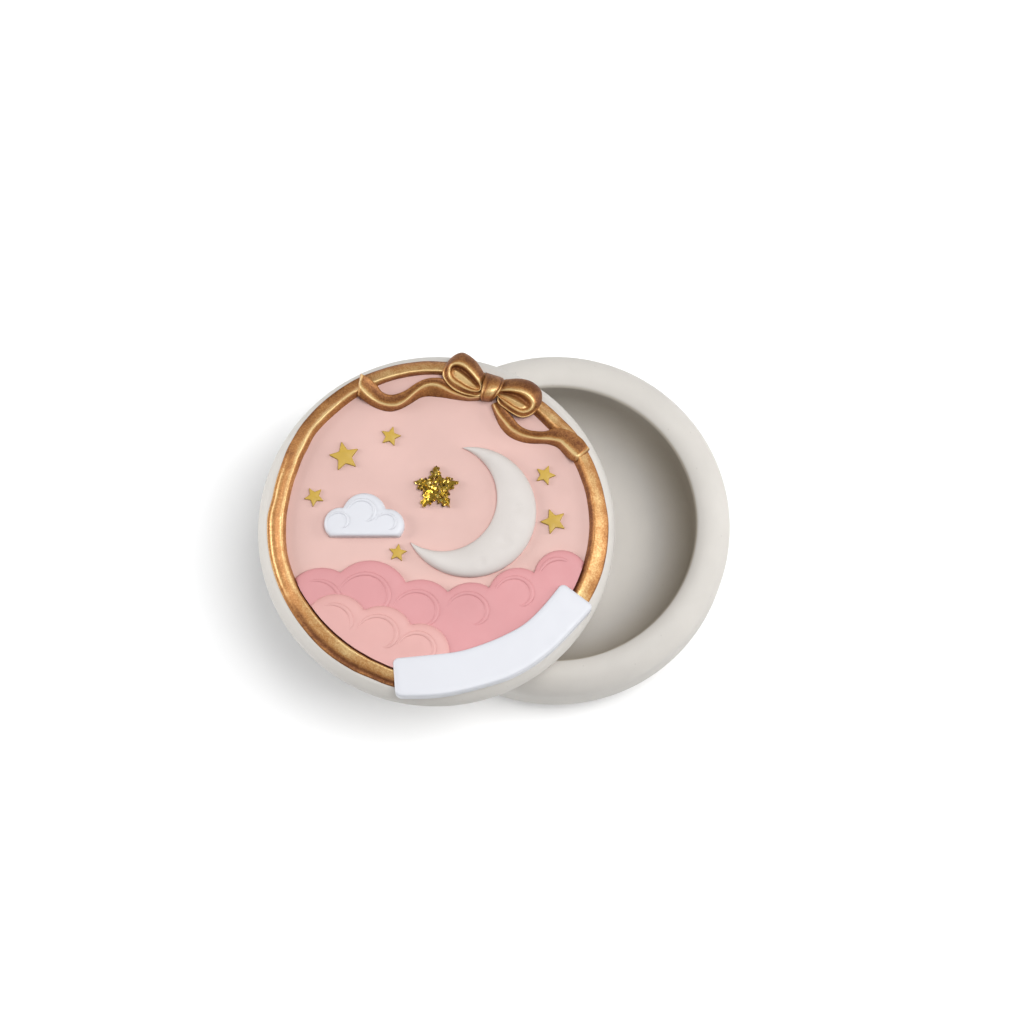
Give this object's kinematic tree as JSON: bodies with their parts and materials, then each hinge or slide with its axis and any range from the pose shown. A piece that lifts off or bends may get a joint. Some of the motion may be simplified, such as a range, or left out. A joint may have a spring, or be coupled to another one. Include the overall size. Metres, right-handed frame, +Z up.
{
  "type": "keepsake box",
  "caption": "Round cast keepsake box for a baby tooth: thick bowl and a loose plug lid with a gilt ring, ribbon bow, bare banner and night-sky relief.",
  "frame": {"origin": "centre of the bowl's flat foot, on the surface it stands on", "axes": "+Z up along the bowl's axis; +X towards the open side of the bowl, away from the lid; +Y away from the picture's camera"},
  "size_m": [0.0802, 0.0632, 0.0322],
  "materials": {
    "ivory_resin": "smooth matte cast polyresin, warm off-white",
    "pink_paint": "matte paint, pale salmon pink",
    "gilt_paint": "satin copper-gold paint, darker in the hollows",
    "white_gloss_paint": "satin white paint",
    "dove_paint": "matte paint, pale warm grey",
    "rose_paint": "matte paint, rose",
    "blush_paint": "matte paint, light rose",
    "mustard_paint": "matte paint, mustard gold",
    "gold_glitter": "coarse gold glitter in clear varnish"
  },
  "bodies": {
    "bowl": {"bowl": "ivory_resin"},
    "lid": {"lid": "ivory_resin", "medallion_field": "pink_paint", "gilt_ring": "gilt_paint", "banner": "white_gloss_paint", "bow_knot": "gilt_paint", "bow_left_loop": "gilt_paint", "bow_right_loop": "gilt_paint", "ribbon_left_tail": "gilt_paint", "ribbon_right_tail": "gilt_paint", "crescent_moon": "dove_paint", "cloud_bank": "rose_paint", "near_cloud_bank": "blush_paint", "white_cloud": "white_gloss_paint", "gold_stars": "mustard_paint", "glitter_star": "gold_glitter"}
  },
  "joints": [
    {"name": "lid_lift", "type": "slide", "parent": "bowl", "child": "lid", "axis": [0, 0, 1], "range_m": [0, 0.04]}
  ]
}
